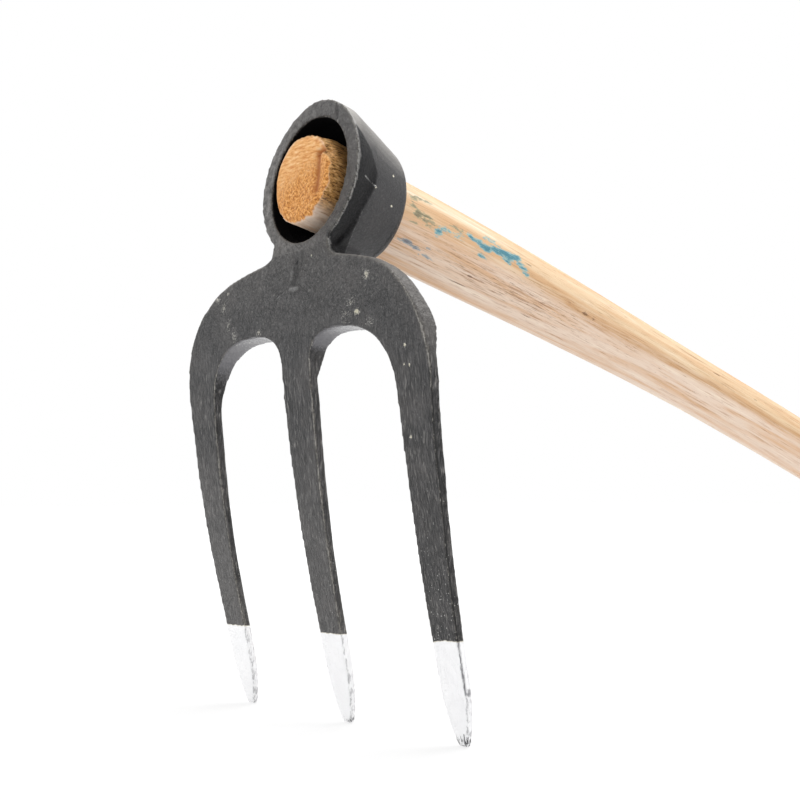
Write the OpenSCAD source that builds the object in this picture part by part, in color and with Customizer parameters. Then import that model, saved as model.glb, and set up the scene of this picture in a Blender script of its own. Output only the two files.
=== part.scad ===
// Fork hoe with three tines: a one-piece forged head on a wooden handle.
// X runs across the blade, +Y runs back along the handle, +Z is up.
// The origin is the middle of the flat end of the middle tine, on the ground.

/* [Tines] */
// Height of the top of the gaps between the tines
gap_top = 157; // [130:1:172]
// Height at which the tines reach their full root width
root_z = 135; // [115:1:150]
// Distance between the middle lines of the tines at their roots
tine_pitch = 74.4; // [66:0.2:84]
// Distance between the middle lines of the tines at their tips
tip_pitch = 72.2; // [64:0.2:80]
// Width of a tine at its root
tine_root_w = 20; // [15:0.1:24]
// Width of a tine where its point begins
tine_low_w = 14.2; // [10:0.1:15.5]
// Width of the flat end of a tine
tip_w = 4.6; // [3:0.1:8]
// Height of the pointed stretch of a tine
point_h = 24; // [18:1:36]
// Thickness of the flat end of a tine
tip_t = 2.2; // [1.5:0.1:3]
// Thickness of a tine's side edges where the point begins
tine_edge_t = 3.2; // [2.4:0.1:3.6]
// Thickness of a tine's side edges at its root
tine_root_edge_t = 3.9; // [3.2:0.1:4.6]
// Thickness of a tine over the land along its back, at the root
tine_ridge_t = 6.4; // [4.5:0.1:8]
// Thickness over that land where the point begins
tine_low_t = 4.8; // [4:0.1:6]
// Width of the land along the back of a tine, as a part of the tine's width
land_part = 0.4; // [0.2:0.05:0.6]

/* [Curve of the face] */
// Angle by which the lower tines lean, tips towards the handle
tine_lean = 13.1; // [8:0.1:18]
// Angle by which the tine roots lean the same way
root_lean = 4.7; // [2:0.1:8]
// Angle by which the face of the eye leans back
eye_lean = 8.7; // [4:0.1:12]
// Height up to which the tines are straight
straight_z = 40; // [30:1:60]
// Height at which the face begins to bend back towards the eye
bend_low_z = 150; // [140:1:160]
// Height at which that bend ends
bend_top_z = 185; // [175:1:190]

/* [Plate] */
// Width of the blade over its shoulders
blade_w = 169.7; // [165:0.1:184]
// Height of the shoulders beside the neck
shoulder_z = 186.2; // [180:0.2:190]
// Slope of the shoulders beside the neck, in degrees
shoulder_slope = 10; // [5:1:15]
// Radius of the round shoulders
shoulder_r = 49.5; // [44:0.5:54]
// Thickness of the plate above the gaps
plate_t = 10; // [8.5:0.1:12]
// Thickness of the plate's outer edges beside the tine roots
plate_edge_t = 3.9; // [3:0.1:5]
// Thickness of the shoulders' edges where they are widest
shoulder_edge_t = 6.6; // [5:0.1:8]
// Thickness of the shoulders' edges beside the neck
top_edge_t = 3; // [2:0.1:5]
// Width of the slope along the outer edges of the plate's back
back_slope_w = 11; // [8:0.5:16]
// Distance of the highest point of each gap from the middle of the blade
gap_peak_x = 29; // [25:1:36]
// Height of the inner corner curve of each gap
gap_in_h = 14; // [10:1:18]
// Height of the outer corner curve of each gap
gap_out_h = 31; // [24:1:36]
// Squareness of the gap's corner curves, where 2 is an ellipse
gap_power = 2.5; // [2:0.1:3]
// How far the gaps' tops slope down for each millimetre of the plate's thickness
gap_draft = 0.17; // [0:0.01:0.25]
// Thickness of the plate where it meets the roots of the tines
root_t = 6.8; // [5.5:0.1:8]
// Height over which that thickness runs out into the outer tines
root_ramp = 13.5; // [10:0.5:18]
// Height over which it runs out into the middle tine
root_step = 5; // [3:0.5:10]

/* [Neck and eye] */
// Width of the neck under the eye
neck_w = 38.4; // [32:0.2:42]
// Radius of the corner between neck and shoulder
neck_r = 7; // [5:0.5:9]
// Radius of the corner under the collar, at the back of the neck
heel_r = 12; // [10:0.5:13]
// Height of the middle of the eye
eye_z = 219.8; // [217:0.2:224]
// Outer radius of the face of the eye
eye_r = 33.1; // [32:0.1:35]
// Radius of the mouth of the eye
mouth_r = 26; // [24:0.1:27]
// Depth of the eye, square to its face
eye_depth = 35.2; // [33:0.1:38]
// Outer radius of the collar at its back
collar_back_r = 23.9; // [22.5:0.1:25.5]
// Rounding of the collar's rear edge
collar_round = 7.5; // [4:0.5:8]
// Depth at which the waist behind the face of the eye ends
waist_depth = 11.5; // [9:0.5:14]
// Depth of the waist at the sides of the collar
waist_cut = 0.6; // [0.4:0.1:1.2]
// Depth of the straight mouth of the eye
mouth_depth = 5; // [4:0.5:7]
// Depth at which the eye begins to grip the handle
grip_depth = 18; // [16:0.5:20]

/* [Handle] */
// Length of the handle along its middle line
handle_len = 638.5; // [480:0.5:900]
// Distance that the handle stands out of the face of the eye
handle_proud = 4.6; // [2:0.1:10]
// Radius of the handle at its thick end
end_r = 19.4; // [18.6:0.1:20]
// Radius of the handle where it leaves the eye
haft_r = 17.6; // [17:0.1:18]
// Radius of the grip
grip_r = 13.9; // [12.5:0.1:15]
// Angle by which the handle slopes down where it leaves the eye
eye_rake = 16.5; // [14:0.1:19]
// Angle by which the grip slopes down
grip_rake = 20.3; // [18:0.1:24]
// Distance along the handle at which the handle has thinned to the grip
grip_start = 263; // [200:1:320]
// Distance along the handle at which its bow ends
bow_end = 331; // [322:1:400]
// Radius of the rounded butt
butt_r = 6; // [3:0.5:10]
// Gap between the handle and the eye
fit_gap = 0.2; // [0.1:0.05:0.3]

/* [Hidden] */
$fn = 96;
forged = "#2b2c30";
wood = "#d6b485";
arc_steps = 14;
edge_steps = 32;
shoulder_steps = 18;
corner_steps = 8;
ring_sides = 48;
shaft_steps = 20;
bow_steps = 24;

// How far a cutting or overlapping form runs past the solid that it meets
past = 12;
// Reach of a form that spans the whole head
reach = 100;
// Straight rim around the face of the eye, and the length over which its waist steps out again
rim_depth = 1.5;
waist_step = 0.4;
// How much higher the line of the waist lies, as a multiple of the waist's depth
waist_lift = 1.6;
// Length of the handle that is straight and conical, from its end to behind the collar
haft_len = 43;
// How far the round ends of the handle stand over its bowed middle, and how far they lap it
lap_r = 0.06;
lap = 5;
// How deep a tine root and the foot of the plate sink into each other
sink = 0.4;
// How far below the top of the gaps the plate's foot ends, inside the tines
foot_drop = 39;
plate_foot = gap_top - foot_drop;
below_foot = plate_foot - past;
// How far below the top of the gaps the tine roots end, inside the plate
root_lap = 7;
tine_top = gap_top - root_lap;
// How far each side of a tine root draws in over a millimetre of height inside the plate
root_draw = 0.25;
// Height at which the faces of tine and plate change over, as a part of the way up their overlap
change_part = 0.7;
change_z = plate_foot + change_part * (tine_top - plate_foot);
// Heights between which the outer tines spread from their tip pitch to their root pitch
spread_low_z = 10;
spread_z = 95;
// Bulge of a tine's point over its thickness: 1 is straight, less is fuller
land_power = 0.8;
// How much closer the first sections of a point lie than the last ones: 1 is evenly spaced
point_crowding = 1.5;
point_steps = 8;
// How much thicker than its edges the middle of a tine's flat end is
tip_crown = 0.2;
// How far above the shoulders the corner under the collar ends
heel_rise = 2.3;
// Half width of the flat back of that corner, as a part of the neck's width
heel_part = 1 / 3;
// How much steeper the collar's middle line slopes down than the eye's, in degrees
collar_tilt = 1;
// How far above the top of the gaps the plate has its full thickness, and how far below the top
// it has thinned to the thickness of the roots, at the outer tines and at the middle one
full_rise = 4;
ramp_drop = 15;
step_drop = 13.6;
// How much thinner the plate is at its foot than where its thickness begins to grow
foot_thinning = 1;
// How far the outer tines flare inwards where the gaps' corner curves begin
root_flare = 0.4;
// Angle between the peak of a gap and the first point of its outer corner curve
peak_step = 2;
// How far beyond the sides of the middle tine its root is thinned
step_margin = 3;
// How far in front of the face the form that cuts out a gap begins, and how long it is
gap_front = 10;
gap_run = 30;
// How far above the top of the gaps the shoulders' edges begin to thicken, are thickest
// and begin to thin
edge_low = -15;
edge_full = -2;
edge_thin = 14;
// Width of the slope along the top of the back, as a part of the width at its sides
top_slope_part = 0.8;
// How far above the shoulders the raised field of the back reaches at the neck
crown = 2;
// How far the neck runs up from the lowest point of the eye's rim
neck_reach = 23;
// A length too small to matter
tiny = 0.0001;

function mix(a, b, t) = a + (b - a) * t;
function clamp01(t) = min(1, max(0, t));
function ease(t) = let(u = clamp01(t)) u * u * (3 - 2 * u);

// Lean of the face at height z, as a tangent
function face_slope(z) =
    z < straight_z ? -tan(tine_lean)
    : z < bend_low_z ? mix(-tan(tine_lean), -tan(root_lean), (z - straight_z) / (bend_low_z - straight_z))
    : z < bend_top_z ? mix(-tan(root_lean), tan(eye_lean), (z - bend_low_z) / (bend_top_z - bend_low_z))
    : tan(eye_lean);
// Sum of that lean over a stretch in which it changes evenly
function stretch_y(z, low, high) =
    let(top = min(z, high)) top <= low ? 0 : (top - low) * (face_slope(low) + face_slope(top - tiny)) / 2;
// Place of the face of the head at height z
function face_y(z) =
    -tip_t / 2 + stretch_y(z, 0, straight_z) + stretch_y(z, straight_z, bend_low_z)
    + stretch_y(z, bend_low_z, bend_top_z) + stretch_y(z, bend_top_z, z);
eye_y = face_y(eye_z);

// Half width, middle line, edge and land thickness of a tine at height z
function tine_half(z) =
    z < point_h ? mix(tine_low_w, tip_w, pow(1 - z / point_h, 2)) / 2
    : z < root_z ? mix(tine_low_w, tine_root_w, (z - point_h) / (root_z - point_h)) / 2
    : tine_root_w / 2 - root_draw * (z - root_z);
function tine_mid(z) =
    mix(tip_pitch, tine_pitch, ease((z - spread_low_z) / (spread_z - spread_low_z)));
function tine_edge(z) =
    z < point_h ? mix(tip_t, tine_edge_t, pow(z / point_h, land_power))
    : mix(tine_edge_t, tine_root_edge_t, ease((z - root_z / 2) / (root_z / 2)));
function tine_land(z) =
    z < point_h ? mix(tip_t + tip_crown, tine_low_t, pow(z / point_h, land_power))
    : mix(tine_low_t, tine_ridge_t, (z - point_h) / (root_z - point_h));

// How far the face of a tine sinks into the plate above the change-over
function root_sink(z) = sink * max(0, z - change_z) / (tine_top - change_z);

// One section of a tine at height z: flat face, thin edges and a land along its back
function tine_section(z) =
    let(h = tine_half(z), l = h * land_part, y = face_y(z) + root_sink(z))
    let(edge_y = y + tine_edge(z), land_y = y + tine_land(z))
    [[-h, y, z], [h, y, z], [h, edge_y, z], [l, land_y, z], [-l, land_y, z], [-h, edge_y, z]];

point_rings = [for (i = [0:point_steps - 1]) point_h * pow(i / point_steps, point_crowding)];
shaft_rings = [for (i = [0:shaft_steps]) mix(point_h, tine_top, i / shaft_steps)];

// A tine as a loft through its sections, its middle line at side times the tine pitch
module tine(side) {
    heights = concat(point_rings, shaft_rings);
    n = len(tine_section(0));
    last = len(heights) - 1;
    points = [for (z = heights) for (p = tine_section(z)) [p.x + side * tine_mid(z), p.y, p.z]];
    walls = [for (k = [0:last - 1]) for (i = [0:n - 1])
        let(a = k * n + i, b = k * n + (i + 1) % n) each [[a, a + n, b], [b, a + n, b + n]]];
    foot = [[for (i = [0:n - 1]) i]];
    cap = [[for (i = [n - 1:-1:0]) last * n + i]];
    polyhedron(points, concat(walls, foot, cap));
}

// A cosine or sine of an ellipse, changed to that of a squared-off one
function squared(t) = sign(t) * pow(abs(t), 2 / gap_power);
// Part of a squared-off ellipse about c, from angle a0 to a1
function quarter(c, rx, rz, a0, a1) =
    [for (i = [0:arc_steps]) let(a = mix(a0, a1, i / arc_steps))
        [c.x + rx * squared(cos(a)), c.y + rz * squared(sin(a))]];
function arc(c, r, a0, a1, steps = arc_steps) =
    [for (i = [0:steps]) let(a = mix(a0, a1, i / steps)) c + r * [cos(a), sin(a)]];

neck_top = eye_z - eye_r + neck_reach;
// How far the plate's edges lie inside the tine's edges at the plate's foot
edge_inset = 0.4;
in_root = tine_root_w / 2;
out_root = tine_pitch - tine_half(gap_top - gap_out_h) - root_flare;
fillet_c = [neck_w / 2 + neck_r, shoulder_z + neck_r];
fillet_end = fillet_c + neck_r * [cos(270 - shoulder_slope), sin(270 - shoulder_slope)];
shoulder_x = blade_w / 2 - shoulder_r;
shoulder_c = [shoulder_x,
    fillet_end.y - (shoulder_x - fillet_end.x) * tan(shoulder_slope) - shoulder_r / cos(shoulder_slope)];

shoulder_arc = arc(shoulder_c, shoulder_r, 0, 90 - shoulder_slope, shoulder_steps);

// The right half of the plate's outline, from its foot round to the neck
half_outline = concat(
    [[tine_pitch + tine_half(plate_foot) - edge_inset, plate_foot]],
    shoulder_arc,
    arc(fillet_c, neck_r, 270 - shoulder_slope, 180, corner_steps),
    [[neck_w / 2, neck_top]]
);
// The gap between the middle tine and the right one, with its height above the plate's foot
gap_h = gap_top - plate_foot;
gap_in_x = tine_half(plate_foot) - edge_inset;
gap_out_x = tine_pitch - tine_half(plate_foot) + edge_inset;
gap_shape = concat(
    [[gap_in_x, -past], [gap_in_x, 0]],
    quarter([gap_peak_x, gap_h - gap_in_h], gap_peak_x - in_root, gap_in_h, 180, 90),
    quarter([gap_peak_x, gap_h - gap_out_h], out_root - gap_peak_x, gap_out_h, 90 - peak_step, 0),
    [[gap_out_x, 0], [gap_out_x, -past]]
);
function flip(pts) = [for (i = [len(pts) - 1:-1:0]) [-pts[i].x, pts[i].y]];

// Thickness of the plate at height z: a ramp over the gaps, then the corner under the collar
heel_z = shoulder_z + heel_rise - heel_r;
full_z = gap_top + full_rise;
ramp_top = gap_top - ramp_drop;
ramp_foot = ramp_top - root_ramp;
step_top = gap_top - step_drop;
// Thickness of the plate over a root whose ramp ends at height top and is run high
function thinned(z, top, run) =
    z < top ? mix(tine_root_edge_t, root_t, clamp01((z - top + run) / run))
    : mix(root_t, plate_t, clamp01((z - top) / (full_z - top)));
function plate_thick(z) =
    z < ramp_foot ? tine_root_edge_t - foot_thinning * clamp01((ramp_foot - z) / root_ramp)
    : z < heel_z ? thinned(z, ramp_top, root_ramp)
    : plate_t + heel_r - sqrt(max(0, heel_r * heel_r - pow(min(z - heel_z, heel_r), 2)));
// How far the foot of the plate sinks into the tines below the change-over
function foot_sink(z) = sink * max(0, change_z - z) / (change_z - plate_foot);

plate_rings = concat(
    [plate_foot],
    [for (i = [0:corner_steps]) mix(ramp_foot, ramp_top, i / corner_steps)],
    [for (i = [1:corner_steps]) mix(ramp_top, full_z, i / corner_steps)],
    [for (i = [1:corner_steps]) mix(full_z, heel_z, i / corner_steps)],
    [for (i = [1:corner_steps]) heel_z + heel_r * sin(90 * i / corner_steps)],
    [neck_top]
);
// Side view of the plate, as [y, z]
plate_side = concat(
    [for (z = plate_rings) [face_y(z) + foot_sink(z), z]],
    [for (i = [len(plate_rings) - 1:-1:0]) let(z = plate_rings[i]) [face_y(z) + plate_thick(z), z]]
);

// Plan of the heel, as [x, y]: thin plate at the sides, a boss that runs up into the collar
bend_y = face_y((bend_low_z + bend_top_z) / 2);
heel_half = neck_w * heel_part;
half_heel = concat(
    [[blade_w, bend_y - reach], [blade_w, bend_y + plate_edge_t]],
    [for (i = [0:arc_steps]) let(a = 90 * i / arc_steps)
        [heel_half + heel_r * (1 - sin(a)), bend_y + plate_edge_t + heel_r * (1 - cos(a))]],
    [[heel_half, bend_y + plate_t + 2 * heel_r]]
);

// The slope along the outer edges of the back, about the middle of the plate
back_c = [0, gap_top];
half_back = concat([[blade_w / 2, plate_foot - gap_top]], [for (p = shoulder_arc) p - back_c],
    [[0, fillet_end.y - gap_top + crown]]);
top_slope_w = top_slope_part * back_slope_w;
back_shrink = [1 - 2 * back_slope_w / blade_w, 1 - top_slope_w / (shoulder_z - gap_top)];

// Side view of the edges of the shoulders, as [y, z]: thickest where the blade is widest
function edge_thick(z) =
    let(h = z - gap_top)
    h < edge_thin ? mix(plate_edge_t, shoulder_edge_t, ease((h - edge_low) / (edge_full - edge_low)))
    : mix(shoulder_edge_t, top_edge_t, ease((h - edge_thin) / (shoulder_z - gap_top - edge_thin)));
edge_rings = [for (i = [0:edge_steps]) mix(below_foot, neck_top + past, i / edge_steps)];
edge_side = concat(
    [[bend_y - reach, below_foot]],
    [for (z = edge_rings) [face_y(z) + edge_thick(z), z]],
    [[bend_y - reach, neck_top + past]]
);

module plate_back() {
    translate([0, 0, below_foot]) linear_extrude(height = eye_z)
        polygon(concat(half_heel, flip(half_heel)));
    rotate([90, 0, 90]) linear_extrude(height = 2 * reach, center = true)
        polygon(edge_side);
    translate([0, bend_y + plate_edge_t - sink, gap_top]) rotate([90, 0, 0]) mirror([0, 0, 1])
        linear_extrude(height = plate_t - plate_edge_t, scale = back_shrink, slices = 1)
            polygon(concat(half_back, flip(half_back)));
}

// The gap on one side, cut from the front; its height shrinks towards the back
front_grow = 1 + gap_draft * gap_front / gap_h;
back_grow = 1 - gap_draft * (gap_run - gap_front) / gap_h;
module gap() {
    translate([0, face_y(gap_top) - gap_front, plate_foot]) rotate([90, 0, 0]) mirror([0, 0, 1])
        linear_extrude(height = gap_run, scale = [1, back_grow / front_grow], slices = 1)
            scale([1, front_grow])
                polygon(gap_shape);
}

// Side view of the form that thins the plate behind the middle tine, as [y, z]
step_low = step_top - root_step;
step_rings = concat(
    [for (i = [0:corner_steps]) mix(below_foot, step_low, i / corner_steps)],
    [for (i = [1:corner_steps]) mix(step_top, full_z, i / corner_steps)]
);
step_side = concat(
    [for (z = step_rings) [face_y(z) + thinned(z, step_top, root_step), z]],
    [[bend_y + reach, full_z], [bend_y + reach, below_foot]]
);

module plate() {
    difference() {
        intersection() {
            rotate([90, 0, 0]) linear_extrude(height = reach, center = true)
                polygon(concat(half_outline, flip(half_outline)));
            rotate([90, 0, 90]) linear_extrude(height = 2 * reach, center = true)
                polygon(plate_side);
            plate_back();
        }
        gap();
        mirror([1, 0, 0]) gap();
        rotate([90, 0, 90]) linear_extrude(height = 2 * (in_root + step_margin), center = true)
            polygon(step_side);
    }
}

// Puts a form on a line that slopes down by an angle, its foot at the middle of the eye's face
module on_line(rake) {
    translate([0, eye_y, eye_z]) rotate([-90 - rake, 0, 0]) children();
}
// Radius of the handle at distance s behind the face of the eye, within the eye
function haft_taper(s) = mix(end_r, haft_r, (s + handle_proud) / haft_len);
haft_depth = haft_len - handle_proud;

// The collar's cone narrows by this much for each millimetre of depth
collar_rake = eye_rake + collar_tilt;
collar_slope = (eye_r - collar_back_r) / (eye_depth - rim_depth);
waist_r = eye_r - collar_slope * (waist_depth - rim_depth) - waist_cut;

// The rear edge is rounded square to the face, so the cone's side view is taken in that frame:
// its radius with no rim, its lean, and the height of its top and bottom lines at depth k
cone_r = eye_r + collar_slope * rim_depth;
cone_lean = collar_rake - eye_lean;
function top_line(k) =
    let(s = (k - cone_r * sin(cone_lean)) / (cos(cone_lean) - collar_slope * sin(cone_lean)))
    (cone_r - collar_slope * s) * cos(cone_lean) - s * sin(cone_lean);
function bottom_line(k) =
    let(s = (k + cone_r * sin(cone_lean)) / (cos(cone_lean) + collar_slope * sin(cone_lean)))
    (collar_slope * s - cone_r) * cos(cone_lean) - s * sin(cone_lean);
// The rounding touches both lines; its lead-in runs along the top one
round_k = eye_depth - collar_round;
round_start = atan(collar_slope) + cone_lean;
round_top = top_line(round_k) - collar_round / cos(round_start);
round_bottom = bottom_line(round_k) + collar_round / cos(round_start - 2 * cone_lean);
round_c = [(round_top - round_bottom) / 2, round_k];
round_from = round_c + collar_round * [cos(round_start), sin(round_start)];
lead_r = round_from.x + round_from.y * tan(round_start);

module collar() {
    intersection() {
        difference() {
            on_line(collar_rake) rotate_extrude()
                polygon([
                    [0, -past],
                    [eye_r, -past],
                    [eye_r, rim_depth],
                    [eye_r - collar_slope * reach / 2, rim_depth + reach / 2],
                    [0, rim_depth + reach / 2]
                ]);
            // The waist behind the face, turned about a higher line so that it runs out towards the top
            on_line(collar_rake) translate([0, -waist_lift * waist_cut, 0]) rotate_extrude()
                polygon([
                    [eye_r + waist_step / 2, rim_depth],
                    [waist_r, waist_depth],
                    [waist_r + waist_cut / 2, waist_depth + waist_step],
                    [eye_r + past, waist_depth + waist_step],
                    [eye_r + past, rim_depth]
                ]);
        }
        // The face and the rounded rear edge, both square to the face
        on_line(eye_lean) translate([0, -(round_top + round_bottom) / 2, 0]) rotate_extrude()
            polygon(concat(
                [[0, 0], [lead_r, 0]],
                arc(round_c, collar_round, round_start, 90, corner_steps),
                [[0, eye_depth]]
            ));
    }
}

module bore() {
    on_line(eye_rake) rotate_extrude()
        polygon([
            [0, -past],
            [mouth_r, -past],
            [mouth_r, mouth_depth],
            [haft_taper(grip_depth) + fit_gap, grip_depth],
            [haft_r + fit_gap, haft_depth],
            [haft_r + fit_gap, eye_depth + past],
            [0, eye_depth + past]
        ]);
}

module head() {
    color(forged) difference() {
        union() {
            for (side = [-1:1]) tine(side);
            plate();
            collar();
        }
        bore();
    }
}

// Middle line of the handle, as [y, z], at distance s from its thick end
start = [eye_y, eye_z] - handle_proud * [cos(eye_rake), -sin(eye_rake)];
bow_start = start + haft_len * [cos(eye_rake), -sin(eye_rake)];
bow_r = (bow_end - haft_len) / ((grip_rake - eye_rake) * PI / 180);
function bow_rake(s) = mix(eye_rake, grip_rake, (s - haft_len) / (bow_end - haft_len));
function bow_at(s) =
    bow_start + bow_r * [sin(bow_rake(s)) - sin(eye_rake), cos(bow_rake(s)) - cos(eye_rake)];
// Radius of the bowed stretch
function bow_radius(s) = mix(haft_r, grip_r, ease((s - haft_len) / (grip_start - haft_len))) - lap_r;

function bow_ring(s) =
    let(c = bow_at(s), a = bow_rake(s), r = bow_radius(s))
    [for (i = [0:ring_sides - 1]) let(t = 360 * i / ring_sides)
        [r * cos(t), c.x + r * sin(t) * sin(a), c.y + r * sin(t) * cos(a)]];

module bowed_stretch() {
    rings = [for (i = [0:bow_steps]) mix(haft_len - lap, bow_end + lap, i / bow_steps)];
    n = ring_sides;
    last = len(rings) - 1;
    points = [for (s = rings) each bow_ring(s)];
    walls = [for (k = [0:last - 1]) for (i = [0:n - 1])
        let(a = k * n + i, b = k * n + (i + 1) % n) each [[a, b, a + n], [b, b + n, a + n]]];
    foot = [[for (i = [n - 1:-1:0]) i]];
    cap = [[for (i = [0:n - 1]) last * n + i]];
    polyhedron(points, concat(walls, foot, cap));
}

grip_at = bow_at(bow_end);
grip_len = handle_len - bow_end;

// The thick end: a cone in the eye, sawn off parallel to the face of the eye
module thick_end() {
    intersection() {
        on_line(eye_rake) rotate_extrude()
            polygon([
                [0, -past],
                [haft_taper(-past), -past],
                [haft_r, haft_depth],
                [0, haft_depth]
            ]);
        on_line(eye_lean) translate([-reach / 2, -reach / 2, -handle_proud]) cube(reach);
    }
}

module handle() {
    color(wood) union() {
        thick_end();
        bowed_stretch();
        translate([0, grip_at.x, grip_at.y]) rotate([-90 - grip_rake, 0, 0]) rotate_extrude()
            polygon(concat(
                [[0, 0], [grip_r, 0]],
                arc([grip_r - butt_r, grip_len - butt_r], butt_r, 0, 90, corner_steps),
                [[0, grip_len]]
            ));
    }
}

head();
handle();
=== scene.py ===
# %% [markdown]
# # A forged fork hoe on a short hardwood handle
#
# The tool has two pieces: a head forged from one billet of steel, and a wooden handle wedged in
# the head's round eye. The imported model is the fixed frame: it says where each piece is and how
# large it may be. This lesson gives both pieces the surface that a hammer, a brush of black paint,
# a saw and years in a shed leave on them.

# %% Load the frame
import math
from itertools import product

import bmesh
import bpy
import numpy as np
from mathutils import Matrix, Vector


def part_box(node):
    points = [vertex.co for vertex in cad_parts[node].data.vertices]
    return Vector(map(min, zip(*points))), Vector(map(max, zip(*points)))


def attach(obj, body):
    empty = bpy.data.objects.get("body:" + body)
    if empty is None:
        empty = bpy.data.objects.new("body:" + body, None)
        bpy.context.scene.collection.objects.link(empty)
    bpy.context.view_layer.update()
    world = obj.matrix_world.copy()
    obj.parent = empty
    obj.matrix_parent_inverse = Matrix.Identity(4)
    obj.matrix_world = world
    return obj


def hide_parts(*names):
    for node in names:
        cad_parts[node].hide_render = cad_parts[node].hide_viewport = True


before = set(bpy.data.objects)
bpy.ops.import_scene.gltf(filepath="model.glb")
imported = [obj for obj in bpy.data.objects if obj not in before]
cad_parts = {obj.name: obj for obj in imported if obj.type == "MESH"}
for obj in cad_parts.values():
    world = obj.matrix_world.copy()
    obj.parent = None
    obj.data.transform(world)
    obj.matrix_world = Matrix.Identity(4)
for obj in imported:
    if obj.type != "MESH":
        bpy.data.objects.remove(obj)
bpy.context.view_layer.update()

# %% [markdown]
# ## The camera
#
# A camera is placed by fitting it: the known sizes of the head were projected until its edges fell
# on the edges in the photograph. That gave a long lens close to the ground, looking slightly up.
# Its yaw is counted from +Y towards -X.

# %% Camera
camera_at = Vector((0.50194, -0.36724, 0.09557))
yaw, pitch = math.radians(51.904), math.radians(3.25)
lens_px, frame_px, sensor_mm = 1516.0, 800, 36.0

ahead = Vector((-math.sin(yaw) * math.cos(pitch), math.cos(yaw) * math.cos(pitch), math.sin(pitch)))
camera_data = bpy.data.cameras.new("camera")
camera_data.sensor_width = sensor_mm
camera_data.lens = lens_px / frame_px * sensor_mm
camera = bpy.data.objects.new("camera", camera_data)
camera.location = camera_at
camera.rotation_euler = ahead.to_track_quat("-Z", "Y").to_euler()
bpy.context.scene.collection.objects.link(camera)
bpy.context.scene.camera = camera
print("lens:", round(camera_data.lens, 1), "mm")

# %% [markdown]
# ## Colours and nodes
#
# Paint makers and web pages give colours as sRGB hex codes, but a shader works with linear light.
# One function turns the first into the second. Another adds a node to a material: it sets the
# node's options, fills its sockets with numbers, and links the sockets that get another node.

# %% Helpers for materials
def colour(code):
    """The linear colour of an sRGB hex code."""
    parts = [int(code[i:i + 2], 16) / 255 for i in (1, 3, 5)]
    return [p / 12.92 if p <= 0.04045 else ((p + 0.055) / 1.055) ** 2.4 for p in parts] + [1.0]


def add(tree, kind, sockets=None, **options):
    """Adds a node; sockets maps an input's name or number to a value or to another node's output."""
    node = tree.nodes.new(kind)
    for name, value in options.items():
        setattr(node, name, value)
    for name, value in (sockets or {}).items():
        if isinstance(value, bpy.types.NodeSocket):
            tree.links.new(value, node.inputs[name])
        else:
            node.inputs[name].default_value = value
    return node


def new_material(name):
    """An empty material with a Principled shader joined to its output."""
    material = bpy.data.materials.new(name)
    material.use_nodes = True
    tree = material.node_tree
    tree.nodes.clear()
    shader = add(tree, "ShaderNodeBsdfPrincipled")
    add(tree, "ShaderNodeOutputMaterial", {"Surface": shader.outputs[0]})
    return material, tree, shader

# %% [markdown]
# ## Studio
#
# The tool stands on a white board in soft, even light, and the world fills in from all sides. What
# the camera, a reflection or a refraction sees directly is plain white. The floor mixes that white
# with a real diffuse surface, so it keeps a faint shadow.

# %% World
world = bpy.data.worlds.new("studio")
world.use_nodes = True
bpy.context.scene.world = world
tree = world.node_tree
tree.nodes.clear()


def direct_rays(tree):
    """1 for rays from the camera, from a reflection and through glass, 0 for light that is spread."""
    rays = add(tree, "ShaderNodeLightPath").outputs
    mirrored = add(tree, "ShaderNodeMath", {0: rays["Is Glossy Ray"], 1: rays["Is Transmission Ray"]},
                   operation="MAXIMUM").outputs[0]
    return add(tree, "ShaderNodeMath", {0: rays["Is Camera Ray"], 1: mirrored},
               operation="MAXIMUM").outputs[0]


fill = add(tree, "ShaderNodeBackground", {"Color": colour("#ffffff"), "Strength": 0.68})
white = add(tree, "ShaderNodeBackground", {"Color": colour("#ffffff"), "Strength": 1.0})
both = add(tree, "ShaderNodeMixShader",
           {0: direct_rays(tree), 1: fill.outputs[0], 2: white.outputs[0]})
add(tree, "ShaderNodeOutputWorld", {"Surface": both.outputs[0]})

# %% [markdown]
# The board is wide, and its far edge would show as a grey horizon, because less lamp light reaches
# it. So its glow grows with the distance from the tool, until it is as white as the world behind it.

# %% Floor
half_board = 6.0
corners = [(-half_board, -half_board, 0), (half_board, -half_board, 0),
           (half_board, half_board, 0), (-half_board, half_board, 0)]
floor_mesh = bpy.data.meshes.new("floor")
floor_mesh.from_pydata(corners, [], [(0, 1, 2, 3)])
floor = bpy.data.objects.new("floor", floor_mesh)
floor.location.z = -0.0004  # just under the tips, so that nothing shares a plane with it
bpy.context.scene.collection.objects.link(floor)
board = bpy.data.materials.new("white board")
board.use_nodes = True
tree = board.node_tree
tree.nodes.clear()
place = add(tree, "ShaderNodeTexCoord").outputs["Object"]
away = add(tree, "ShaderNodeVectorMath", {0: place}, operation="LENGTH").outputs["Value"]
near_m, far_m = 0.45, 1.3
level = add(tree, "ShaderNodeMapRange", {"Value": away, "From Min": near_m, "From Max": far_m,
                                         "To Min": 0.70, "To Max": 1.0}).outputs[0]
matt = add(tree, "ShaderNodeBsdfDiffuse", {"Color": colour("#e8e8e8")})
dim = add(tree, "ShaderNodeBsdfDiffuse", {"Color": colour("#8c8c8c")})
glow = add(tree, "ShaderNodeEmission", {"Color": colour("#ffffff"), "Strength": level})
shown = add(tree, "ShaderNodeAddShader", {0: dim.outputs[0], 1: glow.outputs[0]})
both = add(tree, "ShaderNodeMixShader",
           {0: direct_rays(tree), 1: matt.outputs[0], 2: shown.outputs[0]})
add(tree, "ShaderNodeOutputMaterial", {"Surface": both.outputs[0]})
floor_mesh.materials.append(board)

# %% [markdown]
# Three soft lamps: a strong one overhead, which makes the upward edges of the head pale, and two
# weak ones in front. The left one is the nearer, so the left tine is a little lighter than the right.

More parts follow.
